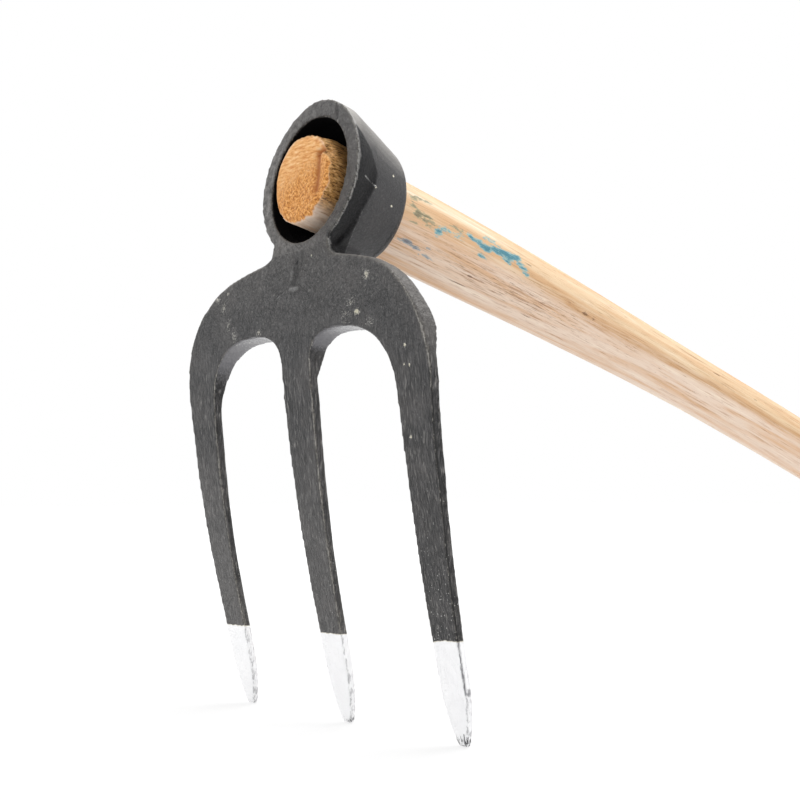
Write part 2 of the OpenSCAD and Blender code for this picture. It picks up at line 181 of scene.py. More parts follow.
# %% Lamps
def soft_lamp(name, place, target, size, watts):
    """A square lamp at place that looks at target."""
    data = bpy.data.lights.new(name, "AREA")
    data.shape, data.size, data.energy = "SQUARE", size, watts
    lamp = bpy.data.objects.new(name, data)
    lamp.location = place
    lamp.rotation_euler = (Vector(target) - Vector(place)).to_track_quat("-Z", "Y").to_euler()
    bpy.context.scene.collection.objects.link(lamp)
    print(name, "at", place)


soft_lamp("overhead softbox", (0.0, 0.35, 1.3), (0.0, 0.1, 0.1), 1.0, 13)
soft_lamp("left softbox", (-0.75, -0.75, 0.45), (0.0, 0.0, 0.12), 0.6, 3)
soft_lamp("right softbox", (1.4, -0.2, 0.9), (0.0, 0.0, 0.15), 0.9, 6)

# %% [markdown]
# ## Noise that a mesh can feel
#
# Shape comes from the mesh, so the dents and ripples of the forging have to move its vertices. This
# noise is made once from a block of seeded random numbers. Between the numbers it blends smoothly,
# so its size in millimetres is the distance from one random number to the next.

# %% Noise for vertices
block = np.random.default_rng(11).random((48, 48, 48))


def ripple(points, size):
    """Smooth noise from -1 to 1 at points in mm; size is the width of a bump, one number or three."""
    q = points / np.asarray(size, float)
    cell = np.floor(q).astype(int)
    f = q - cell
    f = f * f * (3 - 2 * f)
    total = np.zeros(len(points))
    for corner in product((0, 1), repeat=3):
        weight = np.prod(np.where(corner, f, 1 - f), axis=1)
        total += weight * block[tuple(((cell + corner) % 48).T)]
    return 2 * total - 1


def store(mesh, name, values):
    """Keeps one number, or three, for each vertex, where a material can read it."""
    kind, field = ("FLOAT", "value") if values.ndim == 1 else ("FLOAT_VECTOR", "vector")
    kept = mesh.attributes.new(name, kind, "POINT").data
    kept.foreach_set(field, values.astype(np.float32).ravel())


def coords(mesh):
    """The places of a mesh's vertices in mm."""
    flat = np.empty(3 * len(mesh.vertices))
    mesh.vertices.foreach_get("co", flat)
    return flat.reshape(-1, 3) * 1000


def normals(mesh):
    """The outward direction at each vertex."""
    flat = np.empty(3 * len(mesh.vertices))
    mesh.vertex_normals.foreach_get("vector", flat)
    return flat.reshape(-1, 3)

# %% [markdown]
# ## The head: an even net over the forging
#
# The solid in the frame has the right form but very uneven faces, long slivers beside large flats.
# A voxel remesh wraps it in small even squares, which also rounds every edge a little, as scale and
# paint do. The frame's own mesh stays as it is: the work is done on a copy.

# %% Copy and remesh the head
NET = 0.7  # mm between vertices, fine enough for a 1.5 mm dent
head_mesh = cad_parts["head"].data.copy()
soup = bmesh.new()
soup.from_mesh(head_mesh)
bmesh.ops.remove_doubles(soup, verts=soup.verts, dist=1e-6)
soup.to_mesh(head_mesh)
soup.free()
draft = bpy.data.objects.new("head_draft", head_mesh)
bpy.context.scene.collection.objects.link(draft)
net = draft.modifiers.new("even net", "REMESH")
net.mode, net.voxel_size = "VOXEL", NET / 1000
soften = draft.modifiers.new("soften", "SMOOTH")
soften.factor, soften.iterations = 0.5, 3
made = draft.evaluated_get(bpy.context.evaluated_depsgraph_get())
head_mesh = bpy.data.meshes.new_from_object(made)
bpy.data.objects.remove(draft)
head_mesh.name = "forged_head"
head_mesh.materials.clear()
print("head:", len(head_mesh.vertices), "vertices")

# %% [markdown]
# ## Where paint wears
#
# Paint goes first from the edges that stand out. A vertex on such an edge lies outside the middle of
# its neighbours, so the mesh is averaged with its neighbours a few times, and the way each vertex
# would sink inwards is measured: more is a sharper edge, and less than nothing is a hollow.

# %% Find the edges and hollows
def averaged(mesh, places, rounds):
    """The vertices after each has moved to the middle of its neighbours, so many times."""
    ends = np.empty(2 * len(mesh.edges), int)
    mesh.edges.foreach_get("vertices", ends)
    a, b = ends.reshape(-1, 2).T
    count = np.bincount(a, minlength=len(places)) + np.bincount(b, minlength=len(places))
    for _ in range(rounds):
        total = np.zeros_like(places)
        for axis in range(3):
            total[:, axis] = (np.bincount(a, places[b, axis], len(places))
                              + np.bincount(b, places[a, axis], len(places)))
        places = total / count[:, None]
    return places


SHARP = 0.32  # mm that a sharp edge sinks
places = coords(head_mesh)
outward = normals(head_mesh)
sink = np.einsum("ij,ij->i", places - averaged(head_mesh, places, 6), outward)
sink = averaged(head_mesh, np.repeat(sink[:, None], 3, axis=1), 1)[:, 0]
edge = np.clip(sink / SHARP, 0, 1)
print("sharpest edge sinks", round(sink.max(), 2), "mm")

# %% [markdown]
# ## Hammer, tongs and accidents
#
# The marks on the steel are spots and lines. Three small functions say where they are: how far a
# point lies from a line, how near it is to the middle of a spot, and how one level fades to another.

# %% Lines, spots and fades
def near_line(points, start, end):
    """Distance in mm from each point to the line from start to end."""
    start, end = np.asarray(start, float), np.asarray(end, float)
    along = np.clip((points - start) @ (end - start) / ((end - start) @ (end - start)), 0, 1)
    return np.linalg.norm(points - start - along[:, None] * (end - start), axis=1)


def blob(points, middle, size):
    """1 at middle, fading to 0 within about twice the three half widths in size, in mm."""
    return np.exp(-(((points - middle) / size) ** 2).sum(axis=1))


def ramp(values, start, end):
    """0 at start and 1 at end, with a soft rise or fall between them."""
    t = np.clip((values - start) / (end - start), 0, 1)
    return t * t * (3 - 2 * t)

# %% [markdown]
# A hand-forged surface isn't flat. Broad soft waves come from the hammer, and smaller ones from scale
# pressed into the hot steel; the collar is smoother. Then come the marks that only this tool has: a
# dent over the neck and the crescent of steel that it raised, a nick in the neck's corner, a chip on
# the right shoulder, a lap where the eye was closed, and a scratch across the plate. Both shoulders
# bulge a little where the bar was bent, and the eye is flat at its upper left.

# %% Forge the surface
collar_side = ((np.hypot(places[:, 0], places[:, 2] - 219.8) > 24) & (places[:, 1] > -19)
               & (places[:, 2] > 186))
lift = 0.20 * ripple(places, 17) + 0.10 * ripple(places, 7)
scale_marks = 0.06 * ripple(places, 3.2) + 0.07 * ripple(places, (1.6, 1.6, 5))
lift += scale_marks * np.where(collar_side, 0.35, 1.0)
for out, middle, size in [  # mm outwards, place and half widths
        (-1.3, (-0.3, -27, 181), (2.4, 3, 5.0)),
        (-0.5, (3.4, -27, 185), (1.2, 3, 4.0)),
        (0.7, (1.0, -27.5, 174.6), (3.6, 3, 1.0)),
        (-0.9, (-20.7, -25.8, 188.8), (1.4, 2.5, 2.0)),
        (-0.7, (75.5, -24, 171.5), (2.2, 3, 1.4))]:
    lift += out * blob(places, middle, size)
lap = near_line(places, (13.6, -16.6, 249), (15.6, -18, 241))
lift -= 1.0 * np.exp(-(lap / 0.8) ** 2) * (places[:, 1] < -12)
scratch = near_line(places, (-13.7, -28, 171.3), (-5.5, -27.7, 174.6))
lift -= 0.2 * np.exp(-(scratch / 0.6) ** 2)
lift *= 1 - 0.6 * edge
for out, middle, size, facing in [  # broad bulges, on the side that faces the given way
        (1.5, (79, -22, 153), (8, 12, 14), (1, 0, 0)),
        (0.7, (-31, -24, 184), (10, 8, 8), (0, 0, 1)),
        (-0.7, (-21, -17, 243), (14, 8, 10), (-0.66, 0, 0.75))]:
    lift += out * blob(places, middle, size) * np.clip(outward @ facing, 0, 1)

# %% [markdown]
# A shallow channel runs down the outer side of the right tine, between its front and back edges,
# and ends in a round foot inside the silver dip. A dark seam lies along its front lip and round its
# foot: old paint, and painted shade where the channel's front wall is in shadow.

# %% Sink the channel
CHANNEL_TOP, CHANNEL_FOOT, CHANNEL_DEEP = 150.0, 19.0, 0.4
LIP = 0.55  # mm of flat steel beside the channel
levels = np.arange(0, 160, 1.0)  # heights at which the front of the side is looked up
right_tine = places[:, 0] > 55
front_of_level = [places[right_tine & (np.abs(places[:, 2] - z) < 0.8), 1].min() for z in levels]
back_from_front = places[:, 1] - np.interp(places[:, 2], levels, front_of_level)
thickness = np.interp(places[:, 2], [0, 24, 67, 135], [2.2, 3.2, 3.2, 3.9])  # of the side, in mm
beside = np.hypot(back_from_front - thickness / 2,
                  np.minimum(places[:, 2] - CHANNEL_FOOT - thickness / 2, 0))
half_channel = thickness / 2 - LIP
outer_side = right_tine & (outward[:, 0] > 0.55) & (places[:, 2] < CHANNEL_TOP)
fading = ramp(places[:, 2], CHANNEL_TOP, CHANNEL_TOP - 25)
channel = ramp(beside, half_channel + 0.3, half_channel - 0.3) * outer_side * fading
# The seam is old paint and painted shade.
seam = np.exp(-((beside - half_channel) / 0.6) ** 2) * outer_side * fading
seam *= (back_from_front < thickness / 2) | (places[:, 2] < CHANNEL_FOOT + 3)
lift -= CHANNEL_DEEP * channel

# %% [markdown]
# Now every vertex moves outwards by its lift. The thin points of the tines move less, and nothing may
# pass the box that the frame gives for the head.

# %% Move the vertices
sturdy = np.maximum(np.clip((places[:, 2] - 2) / 30, 0.25, 1), channel)
places = places + outward * (lift * sturdy)[:, None]
low, high = [1000 * np.array(corner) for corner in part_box("head")]
places = np.clip(places, low, high)
head_mesh.vertices.foreach_set("co", (places / 1000).ravel())
head_mesh.update()
print("surface moves", round(lift.min(), 2), "to", round(lift.max(), 2), "mm")

# %% [markdown]
# ## Places on the collar
#
# The collar is a cone, so its marks are easiest to place by depth behind the face of the eye and by
# angle round the collar, counted from +X and up. A smith's set left a crease across its lower side:
# in front of it a dark band is painted as shade, and behind it the paint is paler. The same measures
# find the inside of the eye and the two halves of the ring's face: the left half is painted lighter,
# with dust and with painted light.

# %% Collar coordinates
EYE = np.array([0.0, -21.16, 219.8])       # middle of the face of the eye
FACE_LEAN, COLLAR_RAKE, MOUTH_R = math.radians(8.7), math.radians(17.5), 26.0
from_eye = places - EYE
depth = from_eye @ (0, math.cos(FACE_LEAN), -math.sin(FACE_LEAN))
up_y, up_z = math.sin(COLLAR_RAKE), math.cos(COLLAR_RAKE)
upward = from_eye @ (0, up_y, up_z)
from_axis = np.hypot(from_eye[:, 0], upward)
round_angle = np.degrees(np.arctan2(upward, np.abs(from_eye[:, 0])))
crease_depth = np.interp(round_angle, [-65, -53, -44, -27, -16, -5, 5, 12, 20, 27, 35],
                         [14.3, 11.8, 10.2, 9.4, 10.7, 12.7, 12.8, 11.4, 8.4, 4.1, 0.5])
on_collar = (from_axis > 24.5) & (depth > 0.4) & (depth < 38) & (places[:, 2] > 185)
# The band in front of the crease is marked for painted shade.
band = ramp(depth - crease_depth, 0.5, -0.5) * on_collar
# The dent's hollow is marked for painted shade.
dent = (blob(places, (-0.9, -27, 181), (2.2, 4, 5.0))
        + 0.6 * blob(places, (3.4, -27, 185), (1.0, 4, 4.0)))
# The crescent is marked for a painted highlight.
crescent = (blob(places, (0.2, -27.5, 174.4), (3.4, 3, 0.9))
            + 0.6 * blob(places, (-3.2, -27.5, 181), (0.9, 3, 4)))
# The crease line is marked for a painted highlight.
crease = np.exp(-((depth - crease_depth - 0.3) / 0.5) ** 2) * on_collar
crease *= ramp(round_angle, -10, -30)
from_middle = np.stack([from_eye[:, 0], upward * up_y, upward * up_z], -1)
looks_in = np.einsum("ij,ij->i", outward, from_middle) < 0
inner_wall = looks_in & (from_axis < MOUTH_R + 0.6) & (depth > 0.8) & (depth < 40)
# The near rim of the eye is marked for a painted highlight.
near_face = on_collar & (depth < 2.2) & (from_eye[:, 0] > 0)
ring_face = (from_axis < 40) & (depth < 1.5) & (places[:, 2] > 190) & (outward[:, 1] < -0.7)
# The left half is lighter: dust, and painted light that grows towards the left.
ring_face = ring_face * np.interp(from_eye[:, 0], [-32, -5, 30], [1.0, 0.5, 0.15])
print("collar vertices:", int(on_collar.sum()), "inside the eye:", int(inner_wall.sum()))

# %% [markdown]
# ## Marks for the paint
#
# The maker dipped the tips in silver-white paint, each a little deeper than the last, so each vertex
# gets its height over that line. Bruises where the black paint is chipped to a cream primer are kept
# as soft blobs; the material breaks them up into flecks. Scratches, and a painted highlight along the
# collar's crease, are kept as thin lines.

# %% Dip, bruises and scratches
dip_line = np.interp(places[:, 0], [-72, 0, 66, 73, 81], [34.5, 36.4, 38.4, 39.3, 39.5])
bruises = [  # x and z in mm on the face, half width, half height, strength
    (47.9, 175.2, 2.4, 2.8, 1.05),
    (45.2, 177.6, 2.2, 1.6, 0.75),
    (43.0, 161.4, 2.4, 1.5, 1.45),
    (39.0, 165.4, 4.6, 3.6, 0.80),
    (36.0, 160.0, 6.5, 5.0, 0.65),
    (50.8, 157.0, 5.0, 3.0, 0.70),
    (-58.8, 175.7, 3.6, 3.2, 0.82),
    (-53.4, 171.6, 2.6, 4.4, 0.86),
    (-50.7, 177.6, 1.6, 1.2, 1.0),
    (-49.0, 164.0, 2.6, 4.5, 0.80),
    (-44.5, 158.5, 2.4, 5.0, 0.84),
    (-25.0, 158.8, 3.2, 2.2, 0.90),
    (-36.5, 155.5, 6.0, 1.4, 0.7),
    (71.3, 146.7, 0.9, 1.0, 1.6),
    (70.0, 139.9, 0.7, 0.8, 1.5),
    (73.2, 139.4, 0.7, 0.8, 1.6),
    (70.3, 113.4, 1.0, 1.0, 1.5),
    (10.1, 187.1, 0.9, 0.9, 1.2),
    (78.0, 64.0, 2.0, 6.0, 0.5),
]
fleck = np.zeros(len(places))
for x, z, half_w, half_h, strength in bruises:
    fleck = np.maximum(fleck, strength * blob(places, (x, -27, z), (half_w, 8, half_h)))
for middle in [(29.7, -9.2, 213.4), (26.1, 1.6, 207.6), (26.4, 2.4, 219.8)]:
    fleck = np.maximum(fleck, 1.6 * blob(places, middle, (2.5, 0.8, 0.7)))
collar_scratch = near_line(places, (31.7, -16.1, 217.0), (29.7, -9.2, 213.6))
line = np.maximum(0.42 * np.exp(-(scratch / 0.5) ** 2), 0.36 * crease)
line = np.maximum(line, 0.6 * np.exp(-(collar_scratch / 0.5) ** 2))

# %% [markdown]
# Dust, and painted light that grows towards the left, lie on the low fronts of the left and middle
# tines. Small chips are thickest on the lower part of the right tine, which digs in first. The
# undersides of the arches and the right front edges are marked too, for a painted reflection and
# painted highlights, because they reflect more light. The mesh keeps all these marks for the
# material.

# %% Dust, edges and small chips
# Dust and painted light on the low fronts, more of it to the left.
low_front = ramp(places[:, 2], 125, 60) * np.clip(-outward[:, 1], 0, 1)
low_front *= np.interp(places[:, 0], [-80, 15, 60, 80], [1.0, 0.8, 0.1, 0.0])
# The undersides of the arches get a painted reflection of the white floor.
arch_top = ramp(-outward[:, 2], 0.30, 0.75) * (np.abs(places[:, 0]) < 64)
arch_top *= (places[:, 2] > 138) & (places[:, 2] < 178)
# The right front edges are marked for a broken row of painted highlights.
front_edge = edge * ramp(-outward[:, 1], 0.15, 0.5) * (places[:, 2] < 175)
front_edge *= ramp(outward[:, 0], 0.15, 0.45)
chips = np.interp(places[:, 2], [40, 55, 90, 160], [1.1, 0.9, 0.38, 0.15])
chips *= np.interp(places[:, 0], [-75, -10, 10, 68, 78], [0.45, 0.6, 0.6, 0.85, 1.0])
chips *= places[:, 2] < 190

for name, values in {
        "over_dip": places[:, 2] - dip_line, "edge": edge, "fleck": fleck, "line": line,
        "chips": chips, "band": band, "dent": np.clip(dent, 0, 1), "seam": seam,
        "inner_wall": inner_wall * 1.0, "on_collar": on_collar * 1.0,
        "crescent": np.clip(crescent, 0, 1), "ring_face": ring_face, "arch_top": arch_top,
        "low_front": low_front, "front_edge": front_edge, "bright_edge": edge * near_face,
        "skyward": np.clip(outward[:, 2], 0, 1)}.items():
    store(head_mesh, name, values)

# %% [markdown]
# ## Steps that the paint and the wood share
#
# Both materials are built from the same few steps. Each adds a node or two to the tree at work and
# gives back its output: a noise, a mark that was stored for each vertex, a range carried into another
# range, arithmetic, and one colour or number laid over another by a share.

# %% Helpers for textures
def noise(space, scale, detail=5.0, roughness=0.6, stretch=None, **more):
    """A noise over a space in mm; scale is in bumps per mm, stretch squeezes each axis."""
    if stretch:
        space = add(tree, "ShaderNodeMapping", {"Vector": space, "Scale": stretch}).outputs[0]
    return add(tree, "ShaderNodeTexNoise", {"Vector": space, "Scale": scale, "Detail": detail,
                                            "Roughness": roughness, **more}).outputs[0]


def mark(name):
    """A number that was stored for each vertex."""
    return add(tree, "ShaderNodeAttribute", attribute_name=name).outputs["Fac"]


def between(value, low, high, out_low=0.0, out_high=1.0):
    """Carries a value from the range low to high into another range, and stops at its ends."""
    return add(tree, "ShaderNodeMapRange", {"Value": value, "From Min": low, "From Max": high,
                                            "To Min": out_low, "To Max": out_high}).outputs[0]


def less(share, left):
    """1 where the share is 0, and only what is left where the share is 1."""
    return between(share, 0.0, 1.0, 1.0, left)


def maths(kind, *values):
    """One sum, difference or other node of arithmetic."""
    return add(tree, "ShaderNodeMath", dict(enumerate(values)), operation=kind).outputs[0]


def times(a, b):
    """The product of two values."""
    return maths("MULTIPLY", a, b)


def tint(share, under, over):
    """The colour over laid on the colour under by a share; each is a hex code or a node's output."""
    under, over = [colour(c) if isinstance(c, str) else c for c in (under, over)]
    return add(tree, "ShaderNodeMix", {0: share, 6: under, 7: over}, data_type="RGBA").outputs[2]


def blend(share, under, over):
    """The number over laid on the number under by a share."""
    return add(tree, "ShaderNodeMix", {0: share, 2: under, 3: over}, data_type="FLOAT").outputs[0]


def creases(value, width):
    """1 on the thin winding lines where a noise passes through its middle value."""
    return between(maths("ABSOLUTE", maths("SUBTRACT", value, 0.5)), 0.0, width, 1.0, 0.0)

# %% [markdown]
# ## Black brushed paint on forged steel
#
# Thick black enamel was brushed down the tines, so it shows fine ridges from top to bottom, about a
# millimetre apart. On the plate and the collar it was dabbed, and it dried crinkled. The ridge tops
# are painted palest as a painted highlight, and the thin black lines between them are painted shade
# in the creases.

# %% Black paint
PLATE_FROM, PLATE_TO = 138.0, 166.0  # mm over the floor, where strokes turn into dabs
black_paint, tree, shader = new_material("brushed black enamel on forged steel")
spot = add(tree, "ShaderNodeTexCoord").outputs["Object"]
mm = add(tree, "ShaderNodeVectorMath", {0: spot, 1: (1000, 1000, 1000)},
         operation="MULTIPLY").outputs[0]
height = add(tree, "ShaderNodeSeparateXYZ", {"Vector": mm}).outputs["Z"]
on_plate = between(height, PLATE_FROM, PLATE_TO)
brushed = noise(mm, 1.0, 5.0, 0.62, stretch=(1.6, 1.2, 0.20))
brush_lines = creases(noise(mm, 1.0, 2.0, 0.5, stretch=(0.75, 0.6, 0.10)), 0.055)
dabbed = noise(mm, 0.95, 8.0, 0.72, Distortion=0.8)
wrinkles = creases(noise(mm, 0.26, 3.5, 0.62, Distortion=1.6), 0.036)
ridges = blend(on_plate, brushed, dabbed)
lines = times(blend(on_plate, brush_lines, wrinkles), less(mark("on_collar"), 0.25))
clouds = noise(mm, 0.07, 5.0, 0.6)
grit = noise(mm, 1.3, 4.0, 0.7)
black = tint(between(ridges, 0.40, 0.57), "#19191a", "#444344")
# The pale ridge tops are a painted highlight.
black = tint(between(ridges, 0.56, 0.70, 0.0, 0.95), black, "#86837f")
# The thin dark crease lines are painted shade; the same lines also sink the relief.
black = tint(times(lines, 0.9), black, "#101011")
black = tint(between(clouds, 0.42, 0.68, 0.0, 0.28), black, "#6a6664")
black = tint(times(mark("on_collar"), 0.75), black, "#2b2a2c")

# %% [markdown]
# The upward sides are painted a paler, grainy grey. The left half of the ring's face and the low
# fronts of the left and middle tines carry grey dust together with painted light, which grows towards
# the left. The top of the collar is paler still, a painted highlight, and the undersides of the
# arches are painted pale as a painted reflection of the white floor. The band in front of the crease,
# the dent and the inside of the eye are painted dark as painted shade.

# %% Dust, and what stays dark
mottled = between(noise(mm, 0.35, 6.0, 0.72), 0.40, 0.62, 0.10, 0.85)
# Dust and painted light on the ring's face, strongest on its left half.
black = tint(times(mark("ring_face"), mottled), black, "#95928f")
# Dust and painted light on the low fronts of the tines.
black = tint(times(mark("low_front"), 0.26), black, "#8f8d8b")
# The upward sides are painted a paler grey, broken by grit.
paler_upward = times(mark("skyward"), between(grit, 0.30, 0.70, 0.35, 0.85))
black = tint(times(paler_upward, less(mark("on_collar"), 0.25)), black, "#8f8a84")
# The top of the collar is painted paler: a painted highlight, broken by grit.
collar_top_highlight = times(mark("on_collar"), between(mark("skyward"), 0.25, 0.85, 0.0, 0.85))
black = tint(times(collar_top_highlight, between(grit, 0.3, 0.7, 0.7, 1.0)), black, "#aba69f")
# The undersides of the arches are painted pale: a painted reflection of the white floor.
black = tint(times(mark("arch_top"), 0.35), black, "#9b9a9f")
# The band in front of the crease is painted dark as painted shade.
black = tint(mark("band"), black, tint(between(grit, 0.45, 0.7), "#0f0f10", "#2b2a2c"))
# The dent's hollow is painted dark as painted shade.
black = tint(times(mark("dent"), 0.6), black, "#141415")
# The inside of the eye is painted near black as painted shade.
black = tint(mark("inner_wall"), black, "#060607")

# %% [markdown]
# Edges wear first, and all of them show broken grey specks. The near rim of the eye carries a painted
# highlight, and the right front edges of the tines a broken row of painted highlights. The crescent
# of steel raised under the dent is painted pale as a painted highlight.

# %% Worn edges
beads = noise(mm, 1.0, 5.0, 0.75, stretch=(0.7, 0.7, 0.45))
wear_and_highlights = black
# Grey specks of wear on all edges; painted highlights on the eye's near rim and right front edges.
for name, pattern, low, high, most, code in [("edge", grit, 0.40, 0.56, 0.60, "#7d7870"),
                                             ("bright_edge", grit, 0.18, 0.42, 0.60, "#a9a7a4"),
                                             ("front_edge", beads, 0.36, 0.50, 0.75, "#aba8a2")]:
    worn_and_highlit = between(times(mark(name), pattern), low, high, 0.0, most)
    wear_and_highlights = tint(worn_and_highlit, wear_and_highlights, code)
# The crescent under the dent is painted pale as a painted highlight.
wear_and_highlights = tint(between(mark("crescent"), 0.15, 0.75, 0.0, 0.62), wear_and_highlights, "#a3a2a1")

# %% [markdown]
# Chips come in three kinds: flecks where a blow broke the paint down to the cream primer, scored
# lines, and tiny white points; the scored lines also lay a painted highlight along the collar's
# crease. Each adds noise to a stored mark and keeps what rises over a limit, so a strong mark becomes
# a patch and a weak one only a splatter. The points come from a pattern of cells: each cell draws a
# number, and the more likely chips are at its place, the sooner it gets one.

# %% Chips and scratches
splatter = noise(mm, 1.5, 5.0, 0.72)
broken = between(maths("MULTIPLY_ADD", mark("fleck"), 0.28, splatter), 0.732, 0.770)
chipped = times(broken, between(mark("fleck"), 0.10, 0.30))
cream = tint(between(mark("fleck"), 0.7, 1.2), "#c3c0b9", "#f2ebd0")
with_chips = tint(times(chipped, between(grit, 0.3, 0.55, 0.55, 1.0)), wear_and_highlights, cream)
# Scratches, and the painted highlight along the crease, are laid on in light grey.
scored_and_highlit = between(times(mark("line"), grit), 0.12, 0.34, 0.0, 0.75)
with_chips = tint(scored_and_highlit, with_chips, "#b4b3b2")
cells = add(tree, "ShaderNodeTexVoronoi", {"Vector": mm, "Scale": 1.1})
point = between(cells.outputs["Distance"], 0.30, 0.14)
drawn = add(tree, "ShaderNodeSeparateColor", {0: cells.outputs["Color"]}).outputs[0]
likely = maths("MULTIPLY_ADD", mark("fleck"), 1.1, mark("chips"))
chosen = between(maths("MULTIPLY_ADD", likely, 0.42, drawn), 1.04, 1.30)
painted = tint(times(point, chosen), with_chips, "#dddcd8")
# The seam is painted dark: old paint and painted shade.
painted = tint(between(mark("seam"), 0.25, 0.8), painted, "#0c0c0d")

# %% [markdown]
# The dip ends in a crisp line that wanders by a few tenths of a millimetre, with a thin cream line
# just under it. Its edges are painted a darker grey, a few grey specks lie on it, and the last
# millimetres are scuffed through by the ground.

# %% Silver dip
wander = maths("SUBTRACT", noise(mm, 0.45, 4.0), 0.5)
above = maths("MULTIPLY_ADD", wander, 1.5, mark("over_dip"))
dipped = between(above, 0.12, -0.12)
scuffs = noise(mm, 1.0, 6.0, 0.7, stretch=(1.1, 1.1, 0.3))
at_point = between(mark("over_dip"), -37.6, -32.0, 0.24, 0.0)
scuffed = between(maths("ADD", scuffs, at_point), 0.69, 0.76)
silver = tint(clouds, "#f5f5f7", "#fefefe")
# The edges of the dip are painted a darker grey.
thin_edge = between(times(mark("edge"), scuffs), 0.44, 0.54, 0.0, 0.5)
silver = tint(thin_edge, silver, "#7c7c7f")
silver = tint(times(mark("seam"), between(scuffs, 0.30, 0.50)), silver, "#6c6c70")
silver = tint(scuffed, silver, "#58585b")
silver = tint(between(noise(mm, 0.8, 6.0, 0.75), 0.66, 0.71, 0.0, 0.6), silver, "#9c9ca0")
silver = tint(between(above, -0.50, -0.15, 0.0, 0.55), silver, "#cdc3a4")
paint = tint(dipped, painted, silver)

# %% [markdown]
# Gloss tells the coats apart as much as colour does. The undersides of the arches are smooth, and
# seen at a low angle they mirror the white floor. The dark band is duller than the rest, and the
# inside of the eye gives back almost nothing. Paint isn't metallic, and only the silver dip is partly
# metal; it is thick enough to hide most of the relief.

# %% Gloss and relief
rough = blend(mark("arch_top"), between(ridges, 0.3, 0.7, 0.52, 0.36), 0.16)
rough = blend(mark("inner_wall"), rough, 1.0)
# Less gloss keeps the painted shade of the band and of the eye's inside dark.
gloss = blend(mark("inner_wall"), blend(mark("band"), 0.45, 0.18), 0.05)
gloss = blend(dipped, gloss, 0.5)
relief = maths("MULTIPLY_ADD", lines, -0.42, maths("MULTIPLY_ADD", grit, 0.15, ridges))
for share, left in [(mark("on_collar"), 0.3), (mark("arch_top"), 0.08), (dipped, 0.3)]:
    relief = times(relief, less(share, left))
bump = add(tree, "ShaderNodeBump",
           {"Height": relief, "Strength": 1.0, "Distance": 0.0010}).outputs[0]
for name, value in {"Base Color": paint, "Roughness": rough, "Specular IOR Level": gloss,
                    "Metallic": times(dipped, 0.75), "Normal": bump}.items():
    tree.links.new(value, shader.inputs[name])
head_mesh.materials.append(black_paint)

head = bpy.data.objects.new("forged_head", head_mesh)
bpy.context.scene.collection.objects.link(head)
head_mesh.shade_smooth()
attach(head, "root")
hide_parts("head")

# %% [markdown]
# ## The handle: a turned stick, straightened in the mind
#
# The handle is thick where it wedges in the eye, thins to the grip and bows down slightly. It is
# easiest to model as a straight round stick, with s for the distance from its sawn end, and to lay
# its rings along the bowed line afterwards. The straight coordinates are kept for the wood grain.

# %% The handle's line and radius
_, EYE_Y, EYE_Z = EYE
PROUD = 4.6                                       # mm of wood in front of the middle of the eye
STRAIGHT, BOW_END, LENGTH = 43.0, 331.0, 638.5    # where the bow begins and ends, and the butt
EYE_RAKE, GRIP_RAKE = math.radians(16.5), math.radians(20.3)
END_R, HAFT_R, GRIP_R = 19.4, 17.6, 13.9          # radius at the sawn end, the eye's back, the grip
GRIP_START, BUTT_R = 263.0, 6.0
BOW_R = (BOW_END - STRAIGHT) / (GRIP_RAKE - EYE_RAKE)


def middle_line(s):
    """Distance back, height and slope of the handle's middle line at distance s."""
    slope = np.interp(s, [STRAIGHT, BOW_END], [EYE_RAKE, GRIP_RAKE])
    before, after = np.minimum(s, STRAIGHT) - PROUD, np.maximum(s - BOW_END, 0)
    y = (EYE_Y + before * math.cos(EYE_RAKE) + BOW_R * (np.sin(slope) - math.sin(EYE_RAKE))
         + after * math.cos(GRIP_RAKE))
    z = (EYE_Z - before * math.sin(EYE_RAKE) + BOW_R * (np.cos(slope) - math.cos(EYE_RAKE))
         - after * math.sin(GRIP_RAKE))
    return y, z, slope


def radius(s):
    """The handle's radius at distance s."""
    thinning = ramp(s, STRAIGHT, GRIP_START)
    body = np.where(s < STRAIGHT, END_R + (HAFT_R - END_R) * s / STRAIGHT,
                    HAFT_R + (GRIP_R - HAFT_R) * thinning)
    into_butt = np.clip(s - (LENGTH - BUTT_R), 0, BUTT_R)
    return body - BUTT_R + np.sqrt(BUTT_R ** 2 - into_butt ** 2)


print("middle line ends at", [round(float(v)) for v in middle_line(LENGTH)[:2]], "mm")

# %% [markdown]
# ## Rings, caps and tool marks
#
# The side is a grid of rings, and each end a disc of smaller rings. S, T and R hold the distance, the
# angle and the radius of the side for each vertex. K says how far out on its disc a vertex is: it is
# 1 on the side and less than 1 within the discs.

# %% Build the handle's grid
AROUND, STEP, CAP_RINGS = 192, 1.25, 34
side_s = np.append(np.arange(0, LENGTH - BUTT_R, STEP),
                   LENGTH - BUTT_R + BUTT_R * np.sin(np.linspace(0, math.pi / 2, 8)))
cap_share = np.linspace(0, 1, CAP_RINGS, endpoint=False)[1:]
share = np.concatenate([cap_share, np.ones(len(side_s)), cap_share[::-1]])
ring_s = np.concatenate([np.zeros(len(cap_share)), side_s, np.full(len(cap_share), LENGTH)])
turn = np.linspace(-math.pi, math.pi, AROUND, endpoint=False)
S, T = np.meshgrid(ring_s, turn, indexing="ij")
K = np.repeat(share[:, None], AROUND, axis=1)
R = radius(S)

# %% [markdown]
# A drawknife left long shallow flats on the side, and the tapered end that goes into the eye was only
# hacked to size. Its top was cut flatter, and a chip is out of its upper rim at the right.

